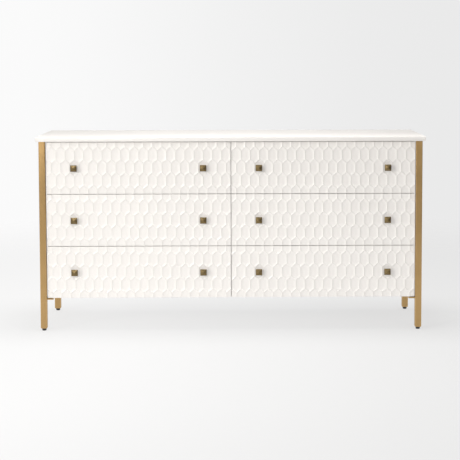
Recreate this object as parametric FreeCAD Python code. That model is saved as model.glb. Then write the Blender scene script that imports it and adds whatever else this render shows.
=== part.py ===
import FreeCAD, Part
import os

from FreeCAD import Vector

# A wide six-drawer dresser: two columns of three drawers in a white case that stands between
# two brass side frames. Millimetres. X runs along the width, -Y is the front, +Z is up, and the
# origin is on the floor under the middle of the whole object, knobs included.

# ---- driving dimensions ----
top_width = 1524.0
top_depth = 457.0
top_thickness = 18.0
height = 765.0
edge_round = 1.5

leg_size = 25.0
leg_wall = 1.5
leg_corner = 2.0
leg_inset = 11.0  # from the edge of the top to the outer faces of a leg
leg_end_plate = 3.0
leg_end_round = 3.0
leg_to_case = 3.5  # open gap between a leg and the case

foot_height = 9.0
foot_top_radius = 9.5
foot_floor_radius = 8.0
foot_round = 2.0
stem_radius = 4.0
stem_length = 15.0

case_bottom = 128.0
panel = 18.0
rail_thickness = 16.0
rail_depth = 50.0
back_thickness = 5.0
back_rabbet = 9.0
back_inset = 7.5  # from the rear faces of the rear legs to the back panel
under_rail_width = 25.0
under_rail_thickness = 5.0
top_plate_length = 40.0
top_plate_thickness = 3.0
top_plate_margin = 3.0

front_thickness = 19.0
front_setback = 5.0  # the fronts lie this far behind the front faces of the legs
front_gap = 2.0
front_top_gap = 2.5
front_bottom_gap = 1.7
front_to_case = 2.0

box_wall = 12.0
box_height = 152.0
box_depth = 365.0
box_lift = 26.0  # from the lower edge of a front to the lower edge of its box
bottom_thickness = 6.0
bottom_lift = 10.0
groove_depth = 6.0

slide_length = 350.0
slide_space = 12.75  # between the box and the case, on each side
slide_setback = 2.0
slide_sheet = 1.2
case_member_half_height = 22.5
middle_member_half_height = 18.0
drawer_member_half_height = 13.5
slide_flange_end = 11.0
middle_web_offset = 3.0
drawer_flange_start = 6.5

knob_size = 25.0
knob_length = 25.0
knob_base_radius = 7.5
knob_base_height = 2.0
knob_stem_radius = 5.0
knob_neck = 12.0  # across the back of the head, where it meets the stem
knob_bevel_back = 2.5
knob_rim = 2.0
knob_bevel_front = 1.5
knob_pyramid = 5.5
knob_tip = 1.0  # across the flat at the peak of the pyramid
knob_seat_depth = 3.0
knob_seat_radius = 9.0
knob_inset = 108.0  # from the ends of a front to the middle of its knobs
knob_overhang = 6.0  # the knobs reach this far in front of the top

dowel_radius = 4.0
dowel_length = 24.0
dowel_step = 15.0  # from the middle of a rail to its dowels
divider_dowel_step = 13.0
divider_dowel_stagger = 5.0  # keeps the dowels of the two bays apart inside the divider
fit = 0.05  # clearance round a dowel, screw or stem in its hole

frame_screw = {"length": 16.0, "radius": 1.9, "head_radius": 3.5, "head_height": 2.4}
back_screw = {"length": 16.0, "radius": 1.6, "head_radius": 3.2, "head_height": 2.0}
front_screw = {"length": 22.0, "radius": 1.9, "head_radius": 3.5, "head_height": 2.2}
knob_screw = {"length": 36.0, "radius": 2.0, "head_radius": 4.0, "head_height": 2.5}
plate_screw_step = 10.0  # from the middle of a leg plate to its screws
front_screw_inset = 60.0  # from the ends of the drawer box to the screws of the front
front_screw_rise = 45.0  # from mid-height of the front to those screws
back_screw_levels = (60.0, 220.0, 380.0, 540.0)  # above the underside of the case
back_screw_steps = (-500.0, -200.0, 200.0, 500.0)  # from the middle of the case

# ---- places worked out from them ----
top_front = knob_overhang - (top_depth + knob_overhang) / 2
top_back = top_front + top_depth
top_under = height - top_thickness
leg_outer = top_width / 2 - leg_inset
leg_middle = leg_outer - leg_size / 2
leg_inner = leg_outer - leg_size
leg_front = top_front + leg_inset
leg_back = top_back - leg_inset
case_half = leg_inner - leg_to_case
case_inner = case_half - panel
divider_half = panel / 2
front_face = leg_front + front_setback
front_rear = front_face + front_thickness
case_front = front_rear + front_to_case
case_back = leg_back - back_inset
back_front = case_back - back_thickness
floor_top = case_bottom + panel
front_low = case_bottom + front_bottom_gap
row_count = 3
front_height = (top_under - front_top_gap - front_low - (row_count - 1) * front_gap) / row_count
row_pitch = front_height + front_gap
bay_middle = (case_inner + divider_half) / 2
box_half = (case_inner - divider_half) / 2 - slide_space
slide_front = case_front + slide_setback
knob_seat = front_face + knob_seat_depth
inner_front_rear = front_rear + box_wall

ROWS = ("bottom", "middle", "top")
COLUMNS = (("left", -1), ("right", 1))


def block(x0, x1, y0, y1, z0, z1):
    """A box between two corners; each pair may be given in either order."""
    low = Vector(min(x0, x1), min(y0, y1), min(z0, z1))
    return Part.makeBox(abs(x1 - x0), abs(y1 - y0), abs(z1 - z0), low)


def rod(radius, start, end):
    """A round bar from start to end."""
    along = end.sub(start)
    return Part.makeCylinder(radius, along.Length, start, along)


def edges_along(shape, axis):
    """The straight edges of a block that run along one axis."""
    found = []
    for edge in shape.Edges:
        run = edge.Vertexes[-1].Point.sub(edge.Vertexes[0].Point)
        if abs(run.dot(axis)) > 0.99 * run.Length:
            found.append(edge)
    return found


def cut(shape, tools):
    """shape with every tool taken away."""
    return shape.cut(Part.makeCompound(tools)) if tools else shape


def save(name, pieces):
    """Writes one node: a single solid, or a group of separate ones."""
    shape = pieces[0] if len(pieces) == 1 else Part.makeCompound(pieces)
    shape.exportStep("parts/" + name + ".step")


# ---- fasteners ----


def dowel_places():
    """Every dowel's middle, on the face between two boards, and the axis that it lies along."""
    across = Vector(1, 0, 0)
    upright = Vector(0, 0, 1)
    places = []
    for level, rail_front in rail_places():
        rail_middle = rail_front + rail_depth / 2
        for side in (-1, 1):
            for step in (-dowel_step, dowel_step):
                places.append((Vector(side * case_inner, rail_middle + step, level), across))
            stagger = divider_dowel_stagger * side
            for step in (stagger - divider_dowel_step, stagger + divider_dowel_step):
                places.append((Vector(side * divider_half, rail_middle + step, level), across))
    for side in (-1, 1):
        for y in depth_steps(4):
            places.append((Vector(side * case_inner, y, case_bottom + panel / 2), across))
    for y in depth_steps(3):
        places.append((Vector(0, y, floor_top), upright))
        for x in (-case_half + panel / 2, 0, case_half - panel / 2):
            places.append((Vector(x, y, top_under), upright))
    return places


def depth_steps(count):
    """count places spread evenly over the depth of the case."""
    depth = back_front - case_front
    return [case_front + depth * (n + 0.5) / count for n in range(count)]


def dowels(grow=0.0):
    """All dowels; grow makes the holes that hold them."""
    found = []
    for middle, axis in dowel_places():
        reach = axis * (dowel_length / 2 + grow)
        found.append(rod(dowel_radius + grow, middle.sub(reach), middle.add(reach)))
    return found


def screw(seat, along, kind, grow=0.0):
    """A screw whose head sits on seat and whose shank runs along a unit vector."""
    head = rod(kind["head_radius"] + grow, seat.sub(along * kind["head_height"]), seat)
    shank = rod(kind["radius"] + grow, seat, seat.add(along * (kind["length"] + grow)))
    return head.fuse(shank).removeSplitter()


def frame_screws(grow=0.0):
    """Pan-head screws up through the leg plates into the top, and up through the rails."""
    up = Vector(0, 0, 1)
    places = []
    for side in (-1, 1):
        for plate in plate_spans():
            middle = (plate[0] + plate[1]) / 2
            for step in (-plate_screw_step, plate_screw_step):
                seat = top_under - top_plate_thickness
                places.append(Vector(side * leg_middle, middle + step, seat))
        for y in depth_steps(3):
            seat = case_bottom - under_rail_thickness
            places.append(Vector(side * (case_half - panel / 2), y, seat))
    return [screw(place, up, frame_screw, grow) for place in places]


def back_screws(grow=0.0):
    """Screws through the back panel into the case, heads flush with the back of the panel."""
    forward = Vector(0, -1, 0)
    seat = case_back - back_screw["head_height"]
    rim = case_inner + back_rabbet / 2
    places = []
    for rise in back_screw_levels:
        for x in (-rim, 0, rim):
            places.append(Vector(x, seat, case_bottom + rise))
    for x in back_screw_steps:
        places.append(Vector(x, seat, case_bottom + panel / 2))
        places.append(Vector(x, seat, top_under - rail_thickness / 2))
    return [screw(place, forward, back_screw, grow) for place in places]


# ---- the case ----


def rail_places():
    """Each rail's middle height and front edge, the same for both bays."""
    top_level = top_under - rail_thickness / 2
    between = [front_low + row_pitch * n - front_gap / 2 for n in (1, 2)]
    return [
        (between[0], case_front),
        (between[1], case_front),
        (top_level, case_front),
        (top_level, back_front - rail_depth),
    ]


def case_rails():
    """Flat rails across both bays: between the rows, under the top, and at the top rear."""
    rails = []
    for level, rail_front in rail_places():
        for side in (-1, 1):
            rails.append(
                block(
                    side * divider_half,
                    side * case_inner,
                    rail_front,
                    rail_front + rail_depth,
                    level - rail_thickness / 2,
                    level + rail_thickness / 2,
                )
            )
    return rails


def top_panel():
    board = block(-top_width / 2, top_width / 2, top_front, top_back, top_under, height)
    return board.makeFillet(edge_round, board.Edges)


def side_panel(side):
    """One side of the case, rabbeted at the rear for the back panel."""
    board = block(
        side * case_inner, side * case_half, case_front, case_back, case_bottom, top_under
    )
    rabbet = block(
        side * (case_inner - 1),
        side * (case_inner + back_rabbet),
        back_front,
        case_back + 1,
        case_bottom - 1,
        top_under + 1,
    )
    return board.cut(rabbet)


def bottom_panel():
    return block(-case_inner, case_inner, case_front, back_front, case_bottom, floor_top)


def center_divider():
    return block(-divider_half, divider_half, case_front, back_front, floor_top, top_under)


def back_panel():
    edge = case_inner + back_rabbet - 0.5
    return block(-edge, edge, back_front, case_back, case_bottom + 2, top_under - 1)


# ---- the brass side frames ----


def plate_spans():
    """Front and rear edges of the two plates on one side frame."""
    front_start = leg_front + leg_size
    rear_end = leg_back - leg_size
    return [
        (front_start, front_start + top_plate_length),
        (rear_end - top_plate_length, rear_end),
    ]


def leg(side, y0):
    """A square tube with a closed, rounded foot end that holds the stem of its glide."""
    x0 = side * leg_middle - leg_size / 2
    outer = block(x0, x0 + leg_size, y0, y0 + leg_size, foot_height, top_under)
    foot_edges = [edge for edge in outer.Edges if edge.BoundBox.ZMax < foot_height + 0.01]
    tapered = outer.makeChamfer(leg_end_round, foot_edges)
    rounded = outer.makeFillet(leg_corner, edges_along(outer, Vector(0, 0, 1)))
    outer = rounded.common(tapered)
    inner = block(
        x0 + leg_wall,
        x0 + leg_size - leg_wall,
        y0 + leg_wall,
        y0 + leg_size - leg_wall,
        foot_height + leg_end_plate,
        top_under + 1,
    )
    middle = Vector(side * leg_middle, y0 + leg_size / 2, 0)
    hole = Part.makeCylinder(stem_radius + fit, 2 * foot_height, middle)
    return outer.cut(inner).cut(hole)


def foot_glides():
    """Black tapered glides with a flat underside, each on a stem up into its leg."""
    glides = []
    for side in (-1, 1):
        for y0 in (leg_front, leg_back - leg_size):
            middle = Vector(side * leg_middle, y0 + leg_size / 2, 0)
            foot = Part.makeCone(foot_floor_radius, foot_top_radius, foot_height, middle)
            rim = [edge for edge in foot.Edges if edge.BoundBox.ZMax < 0.01]
            foot = foot.makeFillet(foot_round, rim)
            stem = Part.makeCylinder(stem_radius, foot_height + stem_length, middle)
            glides.append(foot.fuse(stem).removeSplitter())
    return glides


def under_rails():
    """A flat bar under each side of the case, welded to the inner faces of two legs."""
    bars = []
    for side in (-1, 1):
        bars.append(
            block(
                side * (leg_inner - under_rail_width),
                side * leg_inner,
                front_face,
                leg_back - front_setback,
                case_bottom - under_rail_thickness,
                case_bottom,
            )
        )
    return bars


def leg_top_plates():
    """A small plate behind or in front of each leg's upper end, screwed to the top."""
    plates = []
    for side in (-1, 1):
        for start, end in plate_spans():
            plates.append(
                block(
                    side * (leg_outer - top_plate_margin),
                    side * (leg_inner + top_plate_margin),
                    start,
                    end,
                    top_under - top_plate_thickness,
                    top_under,
                )
            )
    return plates


# ---- the slides ----


def channel(wall, inward, level, web_near, web_far, flange_near, flange_far, half_height):
    """A C-shaped steel member along Y. Distances run inward from the wall of the bay."""

    def across(distance):
        return wall + inward * distance

    y0 = slide_front
    y1 = slide_front + slide_length
    low = level - half_height
    high = level + half_height
    web = block(across(web_near), across(web_far), y0, y1, low, high)
    lower = block(across(flange_near), across(flange_far), y0, y1, low, low + slide_sheet)
    upper = block(across(flange_near), across(flange_far), y0, y1, high - slide_sheet, high)
    return web.fuse([lower, upper]).removeSplitter()


def slide_walls(side):
    """The two walls of a bay, each with the direction into the bay."""
    return ((side * divider_half, side), (side * case_inner, -side))


def case_members(side, level):
    return [
        channel(
            wall, inward, level, 0, slide_sheet, 0, slide_flange_end, case_member_half_height
        )
        for wall, inward in slide_walls(side)
    ]


def middle_members(side, level):
    return [
        channel(
            wall,
            inward,
            level,
            middle_web_offset,
            middle_web_offset + slide_sheet,
            middle_web_offset,
            slide_flange_end,
            middle_member_half_height,
        )
        for wall, inward in slide_walls(side)
    ]


def drawer_members(side, level):
    return [
        channel(
            wall,
            inward,
            level,
            slide_space - slide_sheet,
            slide_space,
            drawer_flange_start,
            slide_space,
            drawer_member_half_height,
        )
        for wall, inward in slide_walls(side)
    ]


# ---- one drawer ----


def knob_places(side, low):
    """The middles of a drawer's two knobs, on the face of its front."""
    level = low + front_height / 2
    near = front_gap / 2 + knob_inset
    far = case_half - knob_inset
    return [Vector(side * x, front_face, level) for x in (near, far)]


def drawer_screws(side, low, grow=0.0):
    """Two machine screws into the knobs and four wood screws into the front."""
    forward = Vector(0, -1, 0)
    found = []
    for place in knob_places(side, low):
        seat = Vector(place.x, inner_front_rear, place.z)
        found.append(screw(seat, forward, knob_screw, grow))
    middle = side * bay_middle
    level = low + front_height / 2
    for across in (-1, 1):
        for up in (-1, 1):
            x = middle + across * (box_half - front_screw_inset)
            seat = Vector(x, inner_front_rear, level + up * front_screw_rise)
            found.append(screw(seat, forward, front_screw, grow))
    return found


def drawer_front(side, low):
    """A full-overlay front with a shallow round seat for each knob."""
    board = block(
        side * front_gap / 2, side * case_half, front_face, front_rear, low, low + front_height
    )
    board = board.makeFillet(1.0, board.Edges)
    seats = []
    for place in knob_places(side, low):
        start = place.sub(Vector(0, 1, 0))
        seats.append(rod(knob_seat_radius, start, place.add(Vector(0, knob_seat_depth, 0))))
    return board.cut(Part.makeCompound(seats))


def drawer_box(side, low):
    """Two sides, the inner front and the back, grooved for the bottom."""
    middle = side * bay_middle
    z0 = low + box_lift
    z1 = z0 + box_height
    rear = front_rear + box_depth
    inner = box_half - box_wall
    walls = [
        block(middle - box_half, middle - inner, front_rear, rear, z0, z1),
        block(middle + inner, middle + box_half, front_rear, rear, z0, z1),
        block(middle - inner, middle + inner, front_rear, inner_front_rear, z0, z1),
        block(middle - inner, middle + inner, rear - box_wall, rear, z0, z1),
    ]
    groove = block(
        middle - inner - groove_depth,
        middle + inner + groove_depth,
        inner_front_rear - groove_depth,
        rear - box_wall + groove_depth,
        z0 + bottom_lift,
        z0 + bottom_lift + bottom_thickness,
    )
    return [wall.cut(groove) for wall in walls]


def drawer_bottom(side, low):
    middle = side * bay_middle
    reach = box_half - box_wall + groove_depth - 0.5
    z0 = low + box_lift + bottom_lift
    return block(
        middle - reach,
        middle + reach,
        inner_front_rear - groove_depth + 0.5,
        front_rear + box_depth - box_wall + groove_depth - 0.5,
        z0,
        z0 + bottom_thickness,
    )


def square_at(place, size, y):
    """A square outline round a knob's middle, facing the front."""
    half = size / 2
    corners = []
    for dx, dz in ((-1, -1), (1, -1), (1, 1), (-1, 1)):
        corners.append(Vector(place.x + dx * half, y, place.z + dz * half))
    corners.append(corners[0])
    return Part.makePolygon(corners)


def knob(place):
    """A round stem under a square head with bevelled borders and a low pyramid face."""
    tip = knob_seat - knob_length
    face_edge = tip + knob_pyramid
    rim_front = face_edge + knob_bevel_front
    rim_back = rim_front + knob_rim
    head_back = rim_back + knob_bevel_back
    base_start = Vector(place.x, knob_seat, place.z)
    stem_start = Vector(place.x, knob_seat - knob_base_height, place.z)
    base = rod(knob_base_radius, base_start, stem_start)
    stem = rod(knob_stem_radius, stem_start, Vector(place.x, rim_back, place.z))
    rings = (
        (knob_neck, head_back),
        (knob_size, rim_back),
        (knob_size, rim_front),
        (knob_size - 2 * knob_bevel_front, face_edge),
        (knob_tip, tip),
    )
    body = base.fuse(stem)
    for first, second in zip(rings, rings[1:]):
        outlines = [square_at(place, size, y) for size, y in (first, second)]
        body = body.fuse(Part.makeLoft(outlines, True, True))
    return body.removeSplitter()


def build_drawer(row, side_name, side):
    """Every node of one drawer and its two slides."""
    name = ROWS[row] + "_" + side_name
    low = front_low + row_pitch * row
    slide_level = low + box_lift + box_height / 2
    holes = drawer_screws(side, low, fit)
    save(name + "_drawer_front", [cut(drawer_front(side, low), holes)])
    save(name + "_drawer_box", [cut(wall, holes) for wall in drawer_box(side, low)])
    save(name + "_drawer_bottom", [drawer_bottom(side, low)])
    save(name + "_knobs", [cut(knob(place), holes) for place in knob_places(side, low)])
    save(name + "_drawer_screws", drawer_screws(side, low))
    save(name + "_drawer_slide_members", drawer_members(side, slide_level))
    save(name + "_middle_slide_members", middle_members(side, slide_level))
    return case_members(side, slide_level)


def main():
    os.makedirs("parts", exist_ok=True)
    holes = dowels(fit)
    frame_holes = frame_screws(fit)
    back_holes = back_screws(fit)

    save("top_panel", [cut(top_panel(), holes + frame_holes)])
    save("left_side_panel", [cut(side_panel(-1), holes + frame_holes + back_holes)])
    save("right_side_panel", [cut(side_panel(1), holes + frame_holes + back_holes)])
    save("bottom_panel", [cut(bottom_panel(), holes + back_holes)])
    save("center_divider", [cut(center_divider(), holes + back_holes)])
    save("back_panel", [cut(back_panel(), back_holes)])
    save("case_rails", [cut(rail, holes + back_holes) for rail in case_rails()])
    save("case_dowels", dowels())
    save("back_panel_screws", back_screws())

    save("front_left_leg", [leg(-1, leg_front)])
    save("front_right_leg", [leg(1, leg_front)])
    save("back_left_leg", [leg(-1, leg_back - leg_size)])
    save("back_right_leg", [leg(1, leg_back - leg_size)])
    save("foot_glides", foot_glides())
    save("under_rails", [cut(bar, frame_holes) for bar in under_rails()])
    save("leg_top_plates", [cut(plate, frame_holes) for plate in leg_top_plates()])
    save("frame_screws", frame_screws())

    fixed_members = []
    for row in range(row_count):
        for side_name, side in COLUMNS:
            fixed_members += build_drawer(row, side_name, side)
    save("case_slide_members", fixed_members)


main()
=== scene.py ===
import math

import bmesh
import bpy
from bpy.props import FloatProperty, FloatVectorProperty, IntProperty, PointerProperty
from mathutils import Matrix, Vector


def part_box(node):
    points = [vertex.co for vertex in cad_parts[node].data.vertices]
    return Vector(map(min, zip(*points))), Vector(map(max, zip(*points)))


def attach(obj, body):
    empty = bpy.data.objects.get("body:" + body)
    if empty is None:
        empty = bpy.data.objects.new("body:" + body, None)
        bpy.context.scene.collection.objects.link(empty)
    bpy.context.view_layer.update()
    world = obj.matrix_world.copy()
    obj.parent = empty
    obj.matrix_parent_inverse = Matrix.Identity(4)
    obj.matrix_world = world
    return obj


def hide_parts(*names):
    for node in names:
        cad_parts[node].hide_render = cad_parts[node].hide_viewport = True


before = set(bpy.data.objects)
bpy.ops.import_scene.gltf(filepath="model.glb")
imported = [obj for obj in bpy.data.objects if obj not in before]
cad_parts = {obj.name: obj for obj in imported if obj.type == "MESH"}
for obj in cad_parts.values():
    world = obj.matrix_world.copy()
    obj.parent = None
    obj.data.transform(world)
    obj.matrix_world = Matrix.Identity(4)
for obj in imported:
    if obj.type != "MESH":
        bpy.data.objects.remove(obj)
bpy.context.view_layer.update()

bl_info = {
    "name": "Six-Drawer Dresser",
    "version": (1, 0, 0),
    "blender": (4, 5, 0),
    "location": "View3D > Sidebar > Dresser",
    "description": "Carved white drawer fronts, brass legs and knobs around the dresser's CAD frame",
    "category": "Object",
}

# Metres. X runs along the width, -Y is the front, +Z is up, and the floor is at Z = 0.
MM = 0.001
ROWS = ("bottom", "middle", "top")
COLUMNS = ("left", "right")
DRAWERS = [f"{row}_{column}" for row in ROWS for column in COLUMNS]
FRONT_LOW, FRONT_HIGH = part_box("top_left_drawer_front")
KNOB_LOW, KNOB_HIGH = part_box("top_left_knobs")
WELD = 0.02 * MM  # points nearer than this are one point
UP = (0.0, 0.0, 1.0)
DOWN = (0.0, 0.0, -1.0)
TO_FRONT = (0.0, -1.0, 0.0)
TO_BACK = (0.0, 1.0, 0.0)


# ---- what a user would change ----


class CarvingSizes(bpy.types.PropertyGroup):
    """How the scoops of the drawer fronts are laid out and cut."""

    columns: IntProperty(
        name="Scoops Across",
        description="Scoops side by side along one drawer front",
        default=20,
        min=4,
        max=40,
    )
    rows: IntProperty(
        name="Scoops Down",
        description="Row steps from the lower edge of a front to its upper edge, an even number",
        default=4,
        min=2,
        max=12,
    )
    straight: FloatProperty(
        name="Straight Side",
        description="Length of the upright ridge between two scoops of one row",
        default=35 * MM,
        unit="LENGTH",
    )
    floor: FloatProperty(
        name="Floor Half Length",
        description="Half the length of the straight floor line in the middle of a scoop",
        default=12.7 * MM,
        unit="LENGTH",
    )
    depth: FloatProperty(
        name="Scoop Depth",
        description="From the ridges back to the floor, where the knobs stand",
        default=KNOB_HIGH.y - FRONT_LOW.y,
        unit="LENGTH",
    )
    flatness: FloatProperty(
        name="Floor Flatness",
        description="Higher values keep the floor flat for longer and make the wall steeper",
        default=3.4,
        min=1.5,
        max=8.0,
    )
    ease: FloatProperty(
        name="Eased Edge",
        description="Radius of the round along the outer edges of a front",
        default=1.2 * MM,
        unit="LENGTH",
    )


class HardwareSizes(bpy.types.PropertyGroup):
    """Sizes of the knobs, legs, drawer boxes and screws that the frame doesn't give."""

    rim: FloatProperty(
        name="Knob Rim",
        description="Thickness of the flat band round the head of a knob",
        default=2.0 * MM,
        unit="LENGTH",
    )
    pyramid: FloatProperty(
        name="Knob Pyramid",
        description="Height of the low pyramid on the front of a knob",
        default=5.5 * MM,
        unit="LENGTH",
    )
    knob_edge: FloatProperty(
        name="Knob Edge",
        description="Width of the softened edges of a knob's head",
        default=0.35 * MM,
        unit="LENGTH",
    )
    leg_corner: FloatProperty(
        name="Leg Corner",
        description="Radius of the upright corners of a leg",
        default=2.0 * MM,
        unit="LENGTH",
    )
    leg_end: FloatProperty(
        name="Leg End",
        description="Radius of the round at the lower end of a leg",
        default=3.0 * MM,
        unit="LENGTH",
    )
    box_wall: FloatProperty(
        name="Drawer Wall",
        description="Thickness of the four boards of a drawer box",
        default=12.0 * MM,
        unit="LENGTH",
    )
    recess: FloatProperty(
        name="Cross Recess",
        description="Depth of the cross recess in a screw's head",
        default=1.1 * MM,
        unit="LENGTH",
    )


class Finishes(bpy.types.PropertyGroup):
    """Colours of the finishes."""

    lacquer: FloatVectorProperty(
        name="Lacquer",
        description="White lacquer of the case and the fronts",
        subtype="COLOR",
        default=(0.86, 0.833, 0.804),
        min=0,
        max=1,
    )
    brass: FloatVectorProperty(
        name="Leg Brass",
        description="Brushed antique brass of the legs",
        subtype="COLOR",
        default=(0.56, 0.365, 0.16),
        min=0,
        max=1,
    )
    knob_brass: FloatVectorProperty(
        name="Knob Brass",
        description="Dark antique brass of the knobs",
        subtype="COLOR",
        default=(0.24, 0.175, 0.085),
        min=0,
        max=1,
    )
    wood: FloatVectorProperty(
        name="Drawer Wood",
        description="Clear-coated light hardwood of the drawer boxes",
        subtype="COLOR",
        default=(0.62, 0.44, 0.27),
        min=0,
        max=1,
    )
    steel: FloatVectorProperty(
        name="Zinc Plate",
        description="Zinc-plated steel of the slides and screws",
        subtype="COLOR",
        default=(0.60, 0.61, 0.62),
        min=0,
        max=1,
    )


class StageSettings(bpy.types.PropertyGroup):
    """Camera, light and floor of the studio."""

    camera_place: FloatVectorProperty(
        name="Camera Place",
        description="Where the camera stands",
        subtype="TRANSLATION",
        unit="LENGTH",
        default=(0.019, -5.400, 1.101),
    )
    camera_turn: FloatVectorProperty(
        name="Camera Turn",
        description="Tilt, roll and turn of the camera",
        subtype="EULER",
        unit="ROTATION",
        default=(math.radians(90 - 4.26), math.radians(0.09), math.radians(-0.83)),
    )
    lens: FloatProperty(
        name="Lens",
        description="Focal length, for a 36 mm sensor",
        default=104.1,
    )
    shift: FloatVectorProperty(
        name="Lens Shift",
        description="Shift of the lens, which lets the camera tilt less",
        size=2,
        default=(-0.054, -0.175),
    )
    key_power: FloatProperty(
        name="Key Light",
        description="Power of the near soft light in front of the left end",
        default=4.5,
        unit="POWER",
    )
    window_power: FloatProperty(
        name="Window Light",
        description="Power of the large far light on the left, which shows the scoops",
        default=220.0,
        unit="POWER",
    )
    fill_power: FloatProperty(
        name="Fill Light",
        description="Power of the large soft light in front on the right",
        default=34.0,
        unit="POWER",
    )
    overhead_power: FloatProperty(
        name="Overhead Light",
        description="Power of the soft light over the top",
        default=53.0,
        unit="POWER",
    )
    glint_power: FloatProperty(
        name="Glint Light",
        description="Power of the low light that the brass on the left mirrors",
        default=4.5,
        unit="POWER",
    )
    sparkle_power: FloatProperty(
        name="Sparkle Light",
        description="Power of the small high light that the upper facets of the left knobs mirror",
        default=2.4,
        unit="POWER",
    )
    room_low: FloatVectorProperty(
        name="Room Light Low",
        description="Light that comes from the level of the floor",
        subtype="COLOR",
        default=(0.13, 0.129, 0.127),
    )
    room_high: FloatVectorProperty(
        name="Room Light Overhead",
        description="Light that comes from above",
        subtype="COLOR",
        default=(0.80, 0.795, 0.785),
        min=0,
        soft_max=2,
    )
    floor_colour: FloatVectorProperty(
        name="Floor",
        description="Colour of the pale floor where light falls on it",
        subtype="COLOR",
        default=(0.185, 0.185, 0.185),
        min=0,
        max=1,
    )
    floor_glow: FloatProperty(
        name="Floor Glow",
        description="Light that the floor gives off, which keeps the shadows on it faint",
        default=0.736,
    )


# ---- node trees: how they are written ----


class Tree:
    """Adds nodes to a tree. Anything fed to a node is a plain value or another node's output."""

    def __init__(self, tree):
        self.tree = tree

    def add(self, kind, feeds=None, **settings):
        """One node; feeds maps the names or numbers of its inputs to what goes in."""
        node = self.tree.nodes.new(kind)
        for name, value in settings.items():
            setattr(node, name, value)
        for key, value in (feeds or {}).items():
            self.feed(node.inputs[key], value)
        return node

    def feed(self, socket, value):
        if isinstance(value, bpy.types.NodeSocket):
            self.tree.links.new(value, socket)
        else:
            socket.default_value = value

    def math(self, operation, *values, clamp=False):
        feeds = dict(enumerate(values))
        return self.add("ShaderNodeMath", feeds, operation=operation, use_clamp=clamp).outputs[0]

    def vector(self, operation, *values):
        node = self.add("ShaderNodeVectorMath", dict(enumerate(values)), operation=operation)
        return node.outputs[0]

    def scaled(self, vector, factor):
        node = self.add("ShaderNodeVectorMath", {0: vector, "Scale": factor}, operation="SCALE")
        return node.outputs[0]

    def join(self, x, y, z):
        return self.add("ShaderNodeCombineXYZ", {0: x, 1: y, 2: z}).outputs[0]

    def split(self, vector):
        return self.add("ShaderNodeSeparateXYZ", {0: vector}).outputs

    def remap(self, value, from_low, from_high, to_low, to_high):
        """Moves a value from one range to another, and holds it at the ends."""
        feeds = {0: value, 1: from_low, 2: from_high, 3: to_low, 4: to_high}
        return self.add("ShaderNodeMapRange", feeds).outputs[0]

    def stretched(self, value, low, high):
        """The range from low to high, drawn out to the whole of 0 to 1."""
        return self.remap(value, low, high, 0.0, 1.0)

    def noise(self, vector, scale, detail=2.0, roughness=0.5):
        feeds = {"Vector": vector, "Scale": scale, "Detail": detail, "Roughness": roughness}
        return self.add("ShaderNodeTexNoise", feeds).outputs[0]

    def mixed(self, factor, first, second):
        """A colour between two, as a plain value or another node's output."""
        node = self.add("ShaderNodeMix", {0: factor}, data_type="RGBA")
        for key, value in ((6, first), (7, second)):
            if not isinstance(value, bpy.types.NodeSocket):
                value = (*value[:3], 1.0)
            self.feed(node.inputs[key], value)
        return node.outputs[2]


def socket_type(kind):
    return {
        "float": "NodeSocketFloat",
        "int": "NodeSocketInt",
        "vector": "NodeSocketVector",
        "geometry": "NodeSocketGeometry",
        "object": "NodeSocketObject",
        "material": "NodeSocketMaterial",
    }[kind]


def open_group(name, family, inputs, outputs):
    """A new node group with named sockets: its Tree, its inputs' outputs, and its output node."""
    group = bpy.data.node_groups.new(name, family)
    for in_out, sockets in (("INPUT", inputs), ("OUTPUT", outputs)):
        for label, kind, value in sockets:
            made = group.interface.new_socket(label, in_out=in_out, socket_type=socket_type(kind))
            if value is not None:
                made.default_value = value
    tree = Tree(group)
    source = tree.add("NodeGroupInput").outputs
    target = tree.add("NodeGroupOutput")
    return tree, source, target


# ---- shared effects: shader node groups ----


def paint_skin_group():
    """Sprayed paint: a fine orange peel, and a slow drift of tone over the panels."""
    tree, source, target = open_group(
        "Paint Skin",
        "ShaderNodeTree",
        [("Vector", "vector", None), ("Peel Size", "float", 2 * MM), ("Drift Size", "float", 0.3)],
        [("Height", "float", None), ("Drift", "float", None)],
    )
    peel_scale = tree.math("DIVIDE", 1.0, source["Peel Size"])
    drift_scale = tree.math("DIVIDE", 1.0, source["Drift Size"])
    tree.feed(target.inputs["Height"], tree.noise(source["Vector"], peel_scale, 3.0, 0.45))
    drift = tree.noise(source["Vector"], drift_scale, 2.0, 0.5)
    tree.feed(target.inputs["Drift"], tree.stretched(drift, 0.3, 0.7))
    return tree.tree


def brushed_lines_group():
    """Fine lines left by a belt: noise drawn out along one axis, and broader bands under it."""
    tree, source, target = open_group(
        "Brushed Lines",
        "ShaderNodeTree",
        [("Vector", "vector", None), ("Stretch", "vector", (1.0, 1.0, 1.0))],
        [("Lines", "float", None), ("Bands", "float", None)],
    )
    drawn = tree.vector("MULTIPLY", source["Vector"], source["Stretch"])
    fine = tree.noise(drawn, 1.0, 3.0, 0.7)
    tree.feed(target.inputs["Lines"], tree.stretched(fine, 0.25, 0.75))
    broad = tree.noise(drawn, 0.12, 2.0, 0.5)
    tree.feed(target.inputs["Bands"], tree.stretched(broad, 0.3, 0.7))
    return tree.tree


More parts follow.
